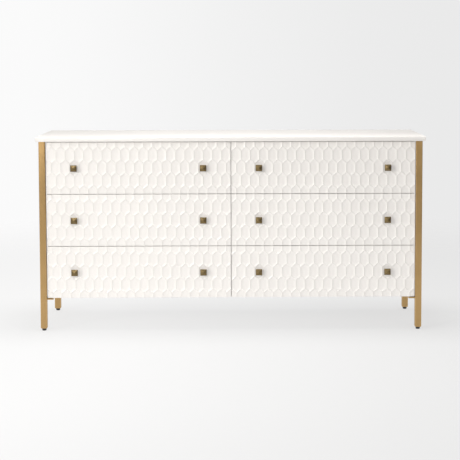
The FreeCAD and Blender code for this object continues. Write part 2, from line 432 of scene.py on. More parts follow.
def edge_wear_and_shade_group():
    """The marked edges of a piece, broken up by noise: where hands and cloths rub, and on the knob rims,
    where it carries a painted dark reflection.
    """
    tree, source, target = open_group(
        "Worn Edge",
        "ShaderNodeTree",
        [
            ("Vector", "vector", None),
            ("Edge", "float", 0.0),
            ("Patch Size", "float", 6 * MM),
            ("Amount", "float", 0.5),
        ],
        [("Mask", "float", None)],
    )
    scale = tree.math("DIVIDE", 1.0, source["Patch Size"])
    # This mask is real wear for most finishes, and painted shade on the knob rims.
    patches = tree.remap(tree.noise(source["Vector"], scale, 4.0, 0.6), 0.35, 0.6, 0.35, 1.0)
    patchy_edges = tree.math("MULTIPLY", source["Edge"], patches)
    tree.feed(target.inputs["Mask"], tree.math("MULTIPLY", patchy_edges, source["Amount"], clamp=True))
    return tree.tree


def wood_fibre_group():
    """Sawn board, its length along X: growth lines drawn out along it, pores and slow tone."""
    tree, source, target = open_group(
        "Wood Fibre",
        "ShaderNodeTree",
        [
            ("Vector", "vector", None),
            ("Figure Width", "float", 45 * MM),
            ("Growth Lines", "float", 9.0),
            ("Pore Width", "float", 0.5 * MM),
        ],
        [("Figure", "float", None), ("Pores", "float", None), ("Tone", "float", None)],
    )
    along, across, through = tree.split(source["Vector"])
    figure_scale = tree.math("DIVIDE", 1.0, source["Figure Width"])
    lazy = tree.join(tree.math("MULTIPLY", along, 0.09), across, through)
    swirl = tree.noise(lazy, figure_scale, 1.5, 0.4)
    waves = tree.math("MULTIPLY", source["Growth Lines"], math.tau)
    rings = tree.math("SINE", tree.math("MULTIPLY", swirl, waves))
    tree.feed(target.inputs["Figure"], tree.stretched(rings, -1.0, 1.0))
    pore_scale = tree.math("DIVIDE", 1.0, source["Pore Width"])
    drawn = tree.join(tree.math("MULTIPLY", along, 0.04), across, through)
    pores = tree.noise(drawn, pore_scale, 2.0, 0.6)
    tree.feed(target.inputs["Pores"], tree.stretched(pores, 0.56, 0.72))
    tone = tree.noise(tree.join(tree.math("MULTIPLY", along, 0.2), across, through), 14.0, 3.0, 0.5)
    tree.feed(target.inputs["Tone"], tree.stretched(tone, 0.3, 0.7))
    return tree.tree


def dust_group():
    """A thin film of dust that gathers on what faces up."""
    tree, source, target = open_group(
        "Dust Film",
        "ShaderNodeTree",
        [("Vector", "vector", None), ("Amount", "float", 0.1)],
        [("Mask", "float", None)],
    )
    facing = tree.split(tree.add("ShaderNodeNewGeometry").outputs["Normal"])[2]
    upward = tree.stretched(facing, 0.5, 1.0)
    clouds = tree.remap(tree.noise(source["Vector"], 9.0, 5.0, 0.6), 0.3, 0.75, 0.2, 1.0)
    film = tree.math("MULTIPLY", upward, clouds)
    tree.feed(target.inputs["Mask"], tree.math("MULTIPLY", film, source["Amount"], clamp=True))
    return tree.tree


def shared_effects():
    """Builds each shared effect once."""
    return {
        "skin": paint_skin_group(),
        "lines": brushed_lines_group(),
        "edge_wear_and_shade": edge_wear_and_shade_group(),
        "fibre": wood_fibre_group(),
        "dust": dust_group(),
    }


# ---- finishes ----


class Finish(Tree):
    """A material under construction, with its shader at hand."""

    def __init__(self, name, effects, metallic=0.0, coat_roughness=0.1):
        self.material = bpy.data.materials.new(name)
        self.material.use_nodes = True
        super().__init__(self.material.node_tree)
        self.effects = effects
        self.shader = self.tree.nodes["Principled BSDF"]
        self.shader.inputs["Metallic"].default_value = metallic
        self.shader.inputs["Coat Roughness"].default_value = coat_roughness
        self.place = self.add("ShaderNodeTexCoord").outputs["Object"]

    def attribute(self, name, output="Fac"):
        return self.add("ShaderNodeAttribute", attribute_name=name).outputs[output]

    def effect(self, name, feeds):
        node = self.tree.nodes.new("ShaderNodeGroup")
        node.node_tree = self.effects[name]
        for key, value in feeds.items():
            self.feed(node.inputs[key], value)
        return node.outputs

    def skin(self, peel, drift):
        """A sprayed skin or a patina: its height, and a slow drift of tone."""
        return self.effect("skin", {"Vector": self.place, "Peel Size": peel, "Drift Size": drift})

    def lines(self, stretch):
        """Fine brushed lines, and the broader bands under them."""
        return self.effect("lines", {"Vector": self.place, "Stretch": stretch})

    def marked_edges(self, patch, amount):
        """A mask of the piece's marked edges, broken up into patches."""
        feeds = {"Vector": self.place, "Edge": self.attribute("edge")}
        return self.effect("edge_wear_and_shade", {**feeds, "Patch Size": patch, "Amount": amount})["Mask"]

    def partly(self, mask, share):
        return self.math("MULTIPLY", mask, share)

    def shows(self, **feeds):
        """Feeds the shader: base, roughness, coat."""
        names = {"base": "Base Color", "roughness": "Roughness", "coat": "Coat Weight"}
        for key, value in feeds.items():
            self.feed(self.shader.inputs[names[key]], value)

    def bump(self, height, distance, strength=1.0):
        feeds = {"Height": height, "Distance": distance, "Strength": strength}
        self.feed(self.shader.inputs["Normal"], self.add("ShaderNodeBump", feeds).outputs[0])


def shade(colour, factor):
    """A colour made darker or lighter."""
    return tuple(min(channel * factor, 1.0) for channel in colour[:3])


PEEL = (0.3, 0.7)  # the range that the height of a skin mostly lies in


def white_lacquer(effects, colours):
    """Satin white lacquer: orange peel, slow drift of tone, ridges and rounds a touch lighter, a little
    dust.
    """
    finish = Finish("White lacquer", effects, coat_roughness=0.16)
    skin = finish.skin(2.2 * MM, 300 * MM)
    dust = finish.effect("dust", {"Vector": finish.place, "Amount": 0.16})
    drift = finish.mixed(skin["Drift"], colours.lacquer, shade(colours.lacquer, 0.975))
    # Colour a touch lighter along the marked ridges and rounds.
    patchy_edges = finish.mixed(finish.marked_edges(25 * MM, 0.5), drift, shade(colours.lacquer, 1.04))
    finish.shows(
        base=finish.mixed(dust["Mask"], patchy_edges, (0.72, 0.70, 0.67)),
        roughness=finish.remap(skin["Height"], *PEEL, 0.30, 0.38),
        coat=0.25,
    )
    finish.bump(skin["Height"], 0.05 * MM, 0.5)
    return finish.material


def painted_hardboard(effects, colours):
    """White roller paint on hardboard, with the board's fine fibres under it."""
    finish = Finish("Painted hardboard", effects)
    skin = finish.skin(1.1 * MM, 120 * MM)
    lines = finish.lines((300.0, 300.0, 90.0))
    drift = finish.mixed(skin["Drift"], shade(colours.lacquer, 0.97), shade(colours.lacquer, 0.90))
    finish.shows(
        base=finish.mixed(finish.partly(lines["Lines"], 0.25), drift, (0.70, 0.65, 0.58)),
        roughness=finish.remap(skin["Height"], *PEEL, 0.5, 0.68),
    )
    finish.bump(finish.math("ADD", skin["Height"], lines["Lines"]), 0.08 * MM, 0.6)
    return finish.material


def board_fibre(finish):
    """The piece's own board coordinates, which every wooden board carries."""
    return finish.attribute("fibre", "Vector")


def drawer_wood(effects, colours):
    """Light hardwood with a clear coat: growth lines along each board, fine pores."""
    finish = Finish("Drawer hardwood", effects, coat_roughness=0.25)
    wood = colours.wood
    fibre = finish.effect("fibre", {"Vector": board_fibre(finish)})
    plain = finish.mixed(fibre["Tone"], shade(wood, 1.08), shade(wood, 0.9))
    lined = finish.mixed(finish.partly(fibre["Figure"], 0.4), plain, shade(wood, 0.68))
    pored = finish.mixed(finish.partly(fibre["Pores"], 0.35), lined, shade(wood, 0.45))
    finish.shows(
        base=finish.mixed(finish.marked_edges(12 * MM, 0.4), pored, shade(wood, 1.25)),
        roughness=finish.remap(fibre["Pores"], 0.0, 1.0, 0.42, 0.58),
        coat=0.15,
    )
    finish.bump(finish.math("SUBTRACT", 1.0, fibre["Pores"]), 0.06 * MM, 0.5)
    return finish.material


def drawer_plywood(effects, colours):
    """The thin plywood of the drawer bottoms: a broad peeled figure."""
    finish = Finish("Drawer plywood", effects, coat_roughness=0.3)
    pale = shade(colours.wood, 1.16)
    peeled = {"Figure Width": 130 * MM, "Growth Lines": 7.0, "Pore Width": 0.7 * MM}
    fibre = finish.effect("fibre", {"Vector": board_fibre(finish), **peeled})
    plain = finish.mixed(fibre["Tone"], pale, shade(pale, 0.9))
    lined = finish.mixed(finish.partly(fibre["Figure"], 0.35), plain, shade(pale, 0.74))
    finish.shows(
        base=finish.mixed(finish.partly(fibre["Pores"], 0.3), lined, shade(pale, 0.55)),
        roughness=finish.remap(fibre["Figure"], 0.0, 1.0, 0.45, 0.55),
        coat=0.1,
    )
    finish.bump(finish.math("SUBTRACT", 1.0, fibre["Pores"]), 0.05 * MM, 0.4)
    return finish.material


def dowel_beech(effects, colours):
    """Bare beech: short dark flecks along the dowels."""
    finish = Finish("Bare beech", effects)
    lines = finish.lines((1800.0, 1800.0, 250.0))
    beech = shade(colours.wood, 1.1)
    finish.shows(
        base=finish.mixed(lines["Lines"], beech, shade(beech, 0.75)),
        roughness=finish.remap(lines["Bands"], 0.0, 1.0, 0.6, 0.75),
    )
    finish.bump(lines["Lines"], 0.03 * MM, 0.5)
    return finish.material


def brushed_brass(effects, colours, name, stretch):
    """Antique brass plate brushed along the bar, with a slow patina and corners that wear brighter."""
    finish = Finish(name, effects, metallic=1.0, coat_roughness=0.2)
    brass = colours.brass
    lines = finish.lines(stretch)
    skin = finish.skin(9 * MM, 90 * MM)
    patina = finish.mixed(skin["Drift"], brass, shade(brass, 0.84))
    streaked = finish.mixed(finish.partly(lines["Bands"], 0.5), patina, shade(brass, 0.78))
    hair = finish.mixed(finish.partly(lines["Lines"], 0.3), streaked, shade(brass, 1.15))
    finish.shows(
        base=finish.mixed(finish.marked_edges(9 * MM, 0.7), hair, shade(brass, 1.25)),
        roughness=finish.remap(lines["Lines"], 0.0, 1.0, 0.30, 0.44),
    )
    finish.bump(lines["Lines"], 0.02 * MM, 0.35)
    return finish.material


def dark_brass(effects, colours):
    """Dark antique brass of the knobs: mottled patina, with a painted dark reflection on the narrow faces
    of the rim.
    """
    finish = Finish("Dark antique brass", effects, metallic=1.0)
    brass = colours.knob_brass
    skin = finish.skin(1.6 * MM, 7 * MM)
    mottled = finish.mixed(skin["Drift"], brass, shade(brass, 0.72))
    specks = finish.remap(skin["Height"], 0.5, 0.7, 0.0, 0.5)
    speckled = finish.mixed(specks, mottled, shade(brass, 1.35))
    finish.shows(
        # The narrow faces of the rim are painted darker: a painted dark reflection of the surroundings.
        base=finish.mixed(finish.marked_edges(4 * MM, 0.9), speckled, shade(brass, 0.4)),
        roughness=finish.remap(skin["Height"], *PEEL, 0.27, 0.42),
    )
    finish.bump(skin["Height"], 0.06 * MM, 0.4)
    return finish.material


def zinc_plate(effects, colours, name, stretch, peel):
    """Zinc-plated steel: drawn lines, faint spangle and a dull film."""
    finish = Finish(name, effects, metallic=1.0)
    steel = colours.steel
    lines = finish.lines(stretch)
    skin = finish.skin(peel, 20 * MM)
    film = finish.mixed(skin["Drift"], steel, shade(steel, 0.82))
    finish.shows(
        base=finish.mixed(finish.marked_edges(3 * MM, 0.5), film, shade(steel, 1.3)),
        roughness=finish.remap(lines["Lines"], 0.0, 1.0, 0.28, 0.45),
    )
    finish.bump(lines["Lines"], 0.02 * MM, 0.3)
    return finish.material


def moulded_black(effects):
    """Black moulded plastic with a fine eroded texture, scuffed along its edges."""
    finish = Finish("Moulded black plastic", effects)
    skin = finish.skin(0.7 * MM, 9 * MM)
    tone = finish.mixed(skin["Drift"], (0.018, 0.018, 0.019), (0.032, 0.031, 0.030))
    finish.shows(
        base=finish.mixed(finish.marked_edges(2 * MM, 0.6), tone, (0.12, 0.115, 0.11)),
        roughness=finish.remap(skin["Height"], *PEEL, 0.42, 0.6),
    )
    finish.bump(skin["Height"], 0.05 * MM, 0.5)
    return finish.material


# Scale of the brushed noise along X, Y and Z, per metre. It is small along the strokes.
ALONG_Y = (2600.0, 30.0, 2600.0)
ALONG_Z = (2600.0, 2600.0, 30.0)
EVEN = (900.0, 900.0, 900.0)
finishes = {}


def make_finishes(colours):
    """One material for each slot of the record, and brass brushed across for the bars."""
    effects = shared_effects()
    finishes.update(
        white_lacquer=white_lacquer(effects, colours),
        back_board=painted_hardboard(effects, colours),
        drawer_wood=drawer_wood(effects, colours),
        drawer_board=drawer_plywood(effects, colours),
        dowel_wood=dowel_beech(effects, colours),
        antique_brass=brushed_brass(effects, colours, "Brushed brass of the legs", ALONG_Z),
        bar_brass=brushed_brass(effects, colours, "Brushed brass of the bars", ALONG_Y),
        dark_brass=dark_brass(effects, colours),
        slide_steel=zinc_plate(effects, colours, "Zinc-plated slides", ALONG_Y, 6 * MM),
        screw_steel=zinc_plate(effects, colours, "Zinc-plated screws", EVEN, 2 * MM),
        black_plastic=moulded_black(effects),
    )


# ---- reading the frame ----


def solids(node):
    """The box of each separate solid in a CAD node, sorted; solids that touch at a corner are one."""
    bm = bmesh.new()
    bm.from_mesh(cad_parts[node].data)
    bmesh.ops.remove_doubles(bm, verts=bm.verts, dist=WELD)
    unseen = set(bm.verts)
    boxes = []
    while unseen:
        front = [unseen.pop()]
        solid = list(front)
        while front:
            reached = {e.other_vert(v) for v in front for e in v.link_edges} & unseen
            unseen -= reached
            front = list(reached)
            solid += front
        low = Vector([min(v.co[i] for v in solid) for i in range(3)])
        high = Vector([max(v.co[i] for v in solid) for i in range(3)])
        boxes.append((low, high))
    bm.free()
    return sorted(boxes, key=lambda box: tuple(round(c, 5) for c in (*box[0], *box[1])))


def keep_cad(node, finish):
    """A CAD node whose shape is right stays, and takes a finish."""
    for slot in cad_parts[node].material_slots:
        slot.material = finishes[finish]


# ---- making pieces ----


def mark_edges(bm, width):
    """Marks the points that lie only on narrow faces, which are the rounds along the edges."""
    edge = bm.verts.layers.float.get("edge") or bm.verts.layers.float.new("edge")
    for v in bm.verts:
        narrow = (f.calc_area() / max(e.calc_length() for e in f.edges) < width for f in v.link_faces)
        if all(narrow):
            v[edge] = 1.0


def mesh_from(bm, name, finish, crease=35.0):
    """Turns a bmesh into a mesh with one finish, smooth but for edges sharper than crease."""
    mesh = bpy.data.meshes.new(name)
    bm.to_mesh(mesh)
    bm.free()
    mesh.materials.append(finishes[finish])
    mesh.shade_smooth()
    mesh.set_sharp_from_angle(angle=math.radians(crease))
    return mesh


def add_piece(name, mesh, body, slot, *stands_for):
    """Puts a finished mesh in the scene as a piece of one body."""
    mesh.name = name
    piece = bpy.data.objects.new(name, mesh)
    bpy.context.scene.collection.objects.link(piece)
    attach(piece, body)
    if stands_for:
        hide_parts(*stands_for)
    return piece


def add_board(bm, low, high, ease, along=0, offset=(0.0, 0.0, 0.0)):
    """A board with rounded edges, and coordinates along its own fibre for the grain."""
    fibre = bm.verts.layers.float_vector.get("fibre") or bm.verts.layers.float_vector.new("fibre")
    before = set(bm.verts)
    middle = (low + high) / 2
    size = high - low
    place = Matrix.Translation(middle) @ Matrix.Diagonal((*size, 1.0))
    made = bmesh.ops.create_cube(bm, size=1.0, matrix=place)
    edges = list({e for v in made["verts"] for e in v.link_edges})
    bmesh.ops.bevel(bm, geom=edges, offset=ease, segments=3, profile=0.5, affect="EDGES")
    order = (along, *(axis for axis in sorted(range(3), key=lambda i: -size[i]) if axis != along))
    for v in bm.verts:
        if v not in before:
            local = v.co - middle
            v[fibre] = Vector([local[axis] for axis in order]) + Vector(offset)


def board_piece(name, boxes, ease, finish, body, along, *stands_for):
    """One piece of several boards; along gives the fibre's axis for each board."""
    bm = bmesh.new()
    for number, (low, high) in enumerate(boxes):
        add_board(bm, low, high, ease, along(low, high), (0.7 * number, 0.31 * number, 0.17 * number))
    mark_edges(bm, 2 * ease)
    return add_piece(name, mesh_from(bm, name, finish), body, finish, *stands_for)


def longest_axis(low, high):
    size = high - low
    return max(range(3), key=lambda axis: size[axis])


def square_ring(half, corner, steps):
    """Points round a square with rounded corners, centred on nothing, in the plane Z = 0."""
    points = []
    for quarter in range(4):
        for step in range(steps + 1):
            angle = math.pi / 2 * (quarter + step / steps)
            middle = math.pi / 2 * quarter + math.pi / 4
            x = math.copysign(half - corner, math.cos(middle)) + corner * math.cos(angle)
            y = math.copysign(half - corner, math.sin(middle)) + corner * math.sin(angle)
            points.append((x, y))
    return points


def loft(bm, rings, close_top=True):
    """Joins closed rings of equal length with faces, and closes the first ring and the last."""
    loops = [[bm.verts.new(point) for point in ring] for ring in rings]
    for low, high in zip(loops, loops[1:]):
        count = len(low)
        for i in range(count):
            j = (i + 1) % count
            bm.faces.new((low[i], low[j], high[j], high[i]))
    bm.faces.new(reversed(loops[0]))
    if close_top:
        bm.faces.new(loops[-1])
    return loops


def circle(radius, height, steps=32):
    return [
        (radius * math.cos(math.tau * i / steps), radius * math.sin(math.tau * i / steps), height)
        for i in range(steps)
    ]


# ---- geometry nodes: like pieces set at their places ----


def placed_tree():
    """Sets one shape on every point it is given, turned to face a direction, spun at random."""
    tree, source, target = open_group(
        "Placed Hardware",
        "GeometryNodeTree",
        [
            ("Geometry", "geometry", None),
            ("Shape", "object", None),
            ("Direction", "vector", (0.0, 0.0, 1.0)),
            ("Random Spin", "float", 0.0),
            ("Seed", "int", 7),
            ("Finish", "material", None),
        ],
        [("Geometry", "geometry", None)],
    )
    shape = tree.add("GeometryNodeObjectInfo", {"Object": source["Shape"]})
    spin = tree.add("FunctionNodeRandomValue", {"Seed": source["Seed"]}, data_type="FLOAT")
    tree.feed(spin.inputs[2], 0.0)
    tree.feed(spin.inputs[3], source["Random Spin"])
    turn = tree.add(
        "FunctionNodeAxesToRotation",
        {"Primary Axis": source["Direction"], "Secondary Axis": (0.0, 0.0, 1.0)},
        primary_axis="Z",
        secondary_axis="Y",
    )
    spun = tree.add("FunctionNodeRotateRotation", {"Rotation": turn.outputs[0]}, rotation_space="LOCAL")
    about = tree.add("FunctionNodeAxisAngleToRotation", {"Axis": (0.0, 0.0, 1.0)})
    tree.feed(about.inputs["Angle"], spin.outputs[1])
    tree.feed(spun.inputs["Rotate By"], about.outputs[0])
    placed = tree.add(
        "GeometryNodeInstanceOnPoints",
        {"Points": source["Geometry"], "Instance": shape.outputs["Geometry"], "Rotation": spun.outputs[0]},
    )
    solid = tree.add("GeometryNodeRealizeInstances", {"Geometry": placed.outputs[0]})
    return coated_output(tree, solid, source, target)


def coated_output(tree, shape, source, target):
    """Ends a tree of geometry nodes: the shape takes its finish and goes out."""
    coated = tree.add(
        "GeometryNodeSetMaterial", {"Geometry": shape.outputs[0], "Material": source["Finish"]}
    )
    tree.feed(target.inputs["Geometry"], coated.outputs[0])
    return tree.tree


def grown_mesh(name, tree, values, points=()):
    """Runs a tree of geometry nodes on loose points and gives the plain mesh that it makes."""
    seeds = bpy.data.meshes.new(name)
    seeds.from_pydata([tuple(point) for point in points], [], [])
    host = bpy.data.objects.new(name, seeds)
    bpy.context.scene.collection.objects.link(host)
    modifier = host.modifiers.new(name, "NODES")
    modifier.node_group = tree
    for item in tree.interface.items_tree:
        if item.in_out == "INPUT" and item.name in values:
            modifier[item.identifier] = values[item.name]
    bpy.context.view_layer.update()
    shown = host.evaluated_get(bpy.context.evaluated_depsgraph_get())
    mesh = bpy.data.meshes.new_from_object(shown)
    host.modifiers.remove(modifier)
    bpy.data.objects.remove(host)
    bpy.data.meshes.remove(seeds)
    return mesh


def placed_piece(name, shape, points, direction, finish, body, node, spin=0.0):
    """One piece of like shapes, set on points by geometry nodes, that stands for a CAD node."""
    tree = bpy.data.node_groups.get("Placed Hardware") or placed_tree()
    pattern = bpy.data.objects.new(name + "_pattern", shape)
    bpy.context.scene.collection.objects.link(pattern)
    values = {
        "Shape": pattern,
        "Direction": direction,
        "Random Spin": spin,
        "Finish": finishes[finish],
    }
    mesh = grown_mesh(name, tree, values, points)
    bpy.data.objects.remove(pattern)
    return add_piece(name, mesh, body, finish, *([node] if node else []))


# ---- the carved fronts ----

HEXAGON = 6  # corners of a scoop's outline
RING_CROWDING = 0.8  # below 1, the rings of a scoop lie closer together near its outline
RIDGE_SHARE = 0.9  # how far out the lighter part of a ridge begins


def scoop_outline(tree, source):
    """The outline of one scoop: a hexagon with upright sides, its sides cut into equal steps."""
    corners = tree.add("GeometryNodeCurvePrimitiveCircle", {"Resolution": HEXAGON, "Radius": 1.0})
    turn = tree.split(tree.add("GeometryNodeInputPosition").outputs[0])
    half_width = tree.math("MULTIPLY", source["Scoop Width"], 0.5)
    widest = math.sin(math.tau / HEXAGON)  # how far out the side corners of a unit hexagon lie
    x = tree.math("MULTIPLY", turn[1], tree.math("DIVIDE", half_width, widest))
    # The tips stand one point's height above the upper side corners, which are at half the radius.
    point = tree.math("SUBTRACT", source["Row Step"], source["Straight Side"])
    share = tree.math("SUBTRACT", tree.math("MULTIPLY", tree.math("ABSOLUTE", turn[0]), 2.0), 1.0)
    lift = tree.math("MULTIPLY", point, share)
    reach = tree.math("ADD", tree.math("MULTIPLY", source["Straight Side"], 0.5), lift)
    z = tree.math("MULTIPLY", tree.math("SIGN", turn[0]), reach)
    shaped = tree.add(
        "GeometryNodeSetPosition", {"Geometry": corners.outputs[0], "Position": tree.join(x, 0.0, z)}
    )
    stepped = tree.add("GeometryNodeSubdivideCurve", {"Curve": shaped.outputs[0], "Cuts": source["Cuts"]})
    return stepped.outputs[0]


def scoop_surface(tree, source, outline):
    """One scoop: rings from its floor line out to its outline, each ring at its own depth."""
    steps = tree.math("MULTIPLY", tree.math("ADD", source["Cuts"], 1.0), float(HEXAGON))
    sheet = tree.add(
        "GeometryNodeMeshGrid",
        {
            "Size X": 1.0,
            "Size Y": 1.0,
            "Vertices X": tree.math("ADD", steps, 1.0),
            "Vertices Y": tree.math("ADD", source["Rings"], 1.0),
        },
    )
    across, outward, _ = tree.split(tree.add("GeometryNodeInputPosition").outputs[0])
    turn = tree.math("ROUND", tree.math("MULTIPLY", tree.math("ADD", across, 0.5), steps))
    rim = tree.add(
        "GeometryNodeSampleIndex",
        {
            "Geometry": outline,
            "Value": tree.add("GeometryNodeInputPosition").outputs[0],
            "Index": tree.math("MODULO", turn, steps),
        },
        data_type="FLOAT_VECTOR",
        domain="POINT",
    ).outputs[0]
    floor = source["Floor Half Length"]
    height = tree.split(rim)[2]
    lowest = tree.math("MULTIPLY", floor, -1.0)
    foot_height = tree.math("MAXIMUM", tree.math("MINIMUM", height, floor), lowest)
    foot = tree.join(0.0, 0.0, foot_height)
    out = tree.math("POWER", tree.math("ADD", outward, 0.5), RING_CROWDING)
    spot = tree.vector("ADD", foot, tree.scaled(tree.vector("SUBTRACT", rim, foot), out))
    # The wall climbs as a power of the way out, so the middle of a scoop is nearly flat.
    wall = tree.math("POWER", out, source["Flatness"])
    depth = tree.math("MULTIPLY", source["Depth"], tree.math("SUBTRACT", 1.0, wall))
    moved = tree.add(
        "GeometryNodeSetPosition",
        {"Geometry": sheet.outputs[0], "Position": tree.vector("ADD", spot, tree.join(0.0, depth, 0.0))},
    )
    marked = tree.add(
        "GeometryNodeStoreNamedAttribute",
        {"Geometry": moved.outputs[0], "Name": "edge", "Value": tree.stretched(out, RIDGE_SHARE, 1.0)},
        data_type="FLOAT",
        domain="POINT",
    )
    return marked.outputs[0]


def scoop_places(tree, source):
    """The middles of the scoops: rows one step apart, every other row moved half a scoop."""
    columns = source["Scoops Across"]
    rows = source["Scoops Down"]
    points = tree.add(
        "GeometryNodeMeshGrid",
        {
            "Size X": tree.math("MULTIPLY", columns, source["Scoop Width"]),
            "Size Y": tree.math("MULTIPLY", rows, source["Row Step"]),
            "Vertices X": tree.math("ADD", columns, 1.0),
            "Vertices Y": tree.math("ADD", rows, 1.0),
        },
    )
    x, y, _ = tree.split(tree.add("GeometryNodeInputPosition").outputs[0])
    row = tree.math("ROUND", tree.math("ABSOLUTE", tree.math("DIVIDE", y, source["Row Step"])))
    odd = tree.math("MODULO", row, 2.0)
    slide = tree.math("MULTIPLY", odd, tree.math("MULTIPLY", source["Scoop Width"], 0.5))
    return tree.add(
        "GeometryNodeSetPosition",
        {"Geometry": points.outputs[0], "Position": tree.join(tree.math("ADD", x, slide), 0.0, y)},
    ).outputs[0]


def outside(tree, length, limit):
    """Whether a coordinate lies further from the middle than half a size."""
    half = tree.math("MULTIPLY", limit, 0.5)
    return tree.math("GREATER_THAN", tree.math("ABSOLUTE", length), half)


def carved_face_tree():
    """The carved face of a drawer front: staggered scoops, trimmed to the front's outline."""
    tree, source, target = open_group(
        "Carved Face",
        "GeometryNodeTree",
        [
            ("Geometry", "geometry", None),
            ("Scoops Across", "int", 20),
            ("Scoops Down", "int", 4),
            ("Scoop Width", "float", 36 * MM),
            ("Row Step", "float", 51 * MM),
            ("Straight Side", "float", 38 * MM),
            ("Floor Half Length", "float", 13 * MM),
            ("Depth", "float", 3 * MM),
            ("Flatness", "float", 4.0),
            ("Cuts", "int", 5),
            ("Rings", "int", 8),
            ("Middle", "vector", (0.0, 0.0, 0.0)),
            ("Finish", "material", None),
        ],
        [("Geometry", "geometry", None)],
    )
    scoop = scoop_surface(tree, source, scoop_outline(tree, source))
    places = scoop_places(tree, source)
    placed = tree.add("GeometryNodeInstanceOnPoints", {"Points": places, "Instance": scoop})
    whole = tree.add("GeometryNodeRealizeInstances", {"Geometry": placed.outputs[0]})
    welded = tree.add("GeometryNodeMergeByDistance", {"Geometry": whole.outputs[0], "Distance": WELD})
    x, _, z = tree.split(tree.add("GeometryNodeInputPosition").outputs[0])
    width = tree.math("MULTIPLY", source["Scoops Across"], source["Scoop Width"])
    height = tree.math("MULTIPLY", source["Scoops Down"], source["Row Step"])
    past = tree.math("MAXIMUM", outside(tree, x, width), outside(tree, z, height))
    trimmed = tree.add(
        "GeometryNodeDeleteGeometry", {"Geometry": welded.outputs[0], "Selection": past}, domain="FACE"
    )
    moved = tree.add(
        "GeometryNodeTransform", {"Geometry": trimmed.outputs[0], "Translation": source["Middle"]}
    )
    return coated_output(tree, moved, source, target)


def carved_face(carving, low, high):
    """The carved face of one front as a plain mesh, inside its eased edge."""
    width = high.x - low.x - 2 * carving.ease
    height = high.z - low.z - 2 * carving.ease
    values = {
        "Scoops Across": carving.columns,
        "Scoops Down": carving.rows,
        "Scoop Width": width / carving.columns,
        "Row Step": height / carving.rows,
        "Straight Side": carving.straight,
        "Floor Half Length": carving.floor,
        "Depth": carving.depth,
        "Flatness": carving.flatness,
        "Middle": Vector(((low.x + high.x) / 2, low.y, (low.z + high.z) / 2)),
        "Finish": finishes["white_lacquer"],
    }
    return grown_mesh("carved_face", carved_face_tree(), values)


def close_front(bm, low, high, ease, steps=4):
    """Rounds the outer edge of the carved face back into flat sides, and closes the back."""
    middle = (low + high) / 2
    reach = Vector(((high.x - low.x) / 2 - ease, 0.0, (high.z - low.z) / 2 - ease))
    near = 0.1 * MM  # points this near to the border lie on it

    def side(offset, limit):
        return math.copysign(1.0, offset) if abs(offset) > limit - near else 0.0

    def outward(point):
        return Vector((side(point.x - middle.x, reach.x), 0.0, side(point.z - middle.z, reach.z)))

    border = [e for e in bm.edges if e.is_boundary]
    start = {v: v.co.copy() for e in border for v in e.verts}
    ways = {v: outward(v.co) for v in start}
    places = [(ease * math.sin(a), ease * (1 - math.cos(a)), None) for a in quarter_turn(steps)]
    places += [(ease, None, high.y - ease)]
    places += [(ease * math.cos(a), None, high.y - ease + ease * math.sin(a)) for a in quarter_turn(steps)]
    for out, back, plane in places:
        grown = bmesh.ops.extrude_edge_only(bm, edges=border)["geom"]
        border = [g for g in grown if isinstance(g, bmesh.types.BMEdge)]
        carried = {}
        for vert in (g for g in grown if isinstance(g, bmesh.types.BMVert)):
            old = next(e.other_vert(vert) for e in vert.link_edges if e.other_vert(vert) in start)
            carried[vert] = old
            y = plane if plane is not None else start[old].y + back
            vert.co = start[old] + ways[old] * out
            vert.co.y = y
        start = {vert: start[old] for vert, old in carried.items()}
        ways = {vert: ways[old] for vert, old in carried.items()}
    bmesh.ops.contextual_create(bm, geom=border)
    bmesh.ops.recalc_face_normals(bm, faces=bm.faces)


def quarter_turn(steps):
    return [math.pi / 2 * (i + 1) / steps for i in range(steps)]


def make_drawer_fronts(carving):
    """Carves one front and sets a copy of it on each drawer."""
    low, high = FRONT_LOW, FRONT_HIGH
    bm = bmesh.new()
    bm.from_mesh(carved_face(carving, low, high))
    close_front(bm, low, high, carving.ease)
    pattern = mesh_from(bm, "front_pattern", "white_lacquer", 30.0)
    for drawer in DRAWERS:
        corner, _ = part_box(drawer + "_drawer_front")
        mesh = pattern.copy()
        mesh.transform(Matrix.Translation(corner - low))
        node = drawer + "_drawer_front"
        add_piece(drawer + "_carved_front", mesh, drawer + "_drawer", "white_lacquer", node)
    bpy.data.meshes.remove(pattern)


# ---- knobs ----


